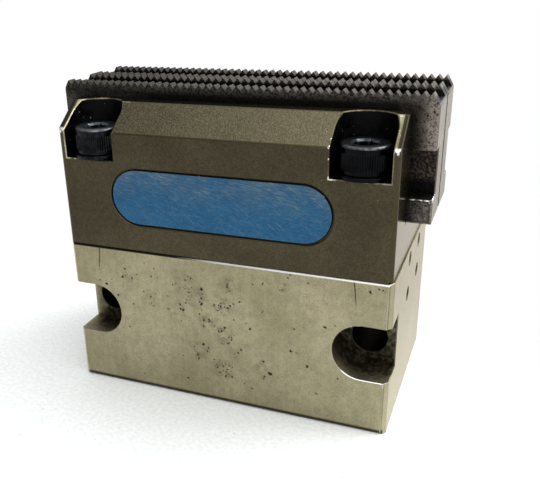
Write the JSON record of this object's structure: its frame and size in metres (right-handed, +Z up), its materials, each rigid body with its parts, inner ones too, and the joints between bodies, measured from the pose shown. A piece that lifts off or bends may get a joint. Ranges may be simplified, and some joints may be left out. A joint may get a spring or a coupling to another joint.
{
  "type": "pneumatic parallel gripper",
  "caption": "Compact pneumatic parallel gripper: cylinder block, dark guide body and serrated jaws that slide past each other in opposite directions.",
  "frame": {"origin": "middle of the bottom face of the cylinder block", "axes": "+X along the jaws, +Y from front to back, +Z up through the jaws"},
  "size_m": [0.073, 0.0418, 0.0615],
  "materials": {
    "light_anodised_aluminium": "satin hard anodised, light olive grey",
    "dark_anodised_aluminium": "satin hard anodised, dark olive",
    "jaw_steel": "dark pitted tool steel",
    "blue_plate": "brushed plate in blue lacquer",
    "black_oxide_steel": "black oxide",
    "hardened_steel": "ground",
    "spring_steel": "phosphated",
    "turned_aluminium": "turned",
    "bronze": "turned",
    "bearing_plastic": "matt",
    "seal_rubber": "moulded"
  },
  "bodies": {
    "housing": {"base_body": "light_anodised_aluminium", "guide_body": "dark_anodised_aluminium", "badge_plate": "blue_plate", "cylinder_cap": "turned_aluminium", "retaining_ring": "spring_steel", "rod_seal": "seal_rubber", "rod_bush": "bronze", "cap_o_ring": "seal_rubber", "dowel_pin_left": "hardened_steel", "dowel_pin_right": "hardened_steel", "cover_screw_front_left": "black_oxide_steel", "lock_washer_front_left": "black_oxide_steel", "cover_screw_front_right": "black_oxide_steel", "lock_washer_front_right": "black_oxide_steel", "cover_screw_rear_left": "black_oxide_steel", "lock_washer_rear_left": "black_oxide_steel", "cover_screw_rear_right": "black_oxide_steel", "lock_washer_rear_right": "black_oxide_steel"},
    "piston": {"wedge_rod": "hardened_steel", "piston": "turned_aluminium", "piston_screw": "black_oxide_steel", "piston_seal": "seal_rubber", "piston_guide_ring": "bearing_plastic", "rod_o_ring": "seal_rubber"},
    "front_jaw": {"front_jaw": "jaw_steel"},
    "rear_jaw": {"rear_jaw": "jaw_steel"}
  },
  "joints": [
    {"name": "piston_slide", "type": "slide", "parent": "housing", "child": "piston", "axis": [0, 0, 1], "range_m": [-0.004, 0.004]},
    {"name": "front_jaw_slide", "type": "slide", "parent": "housing", "child": "front_jaw", "axis": [1, 0, 0], "range_m": [-0.004, 0.004]},
    {"name": "rear_jaw_slide", "type": "slide", "parent": "housing", "child": "rear_jaw", "axis": [1, 0, 0], "range_m": [-0.004, 0.004]}
  ],
  "couplings": [
    {"joint": "front_jaw_slide", "follows": "piston_slide", "ratio": 1},
    {"joint": "rear_jaw_slide", "follows": "piston_slide", "ratio": -1}
  ]
}
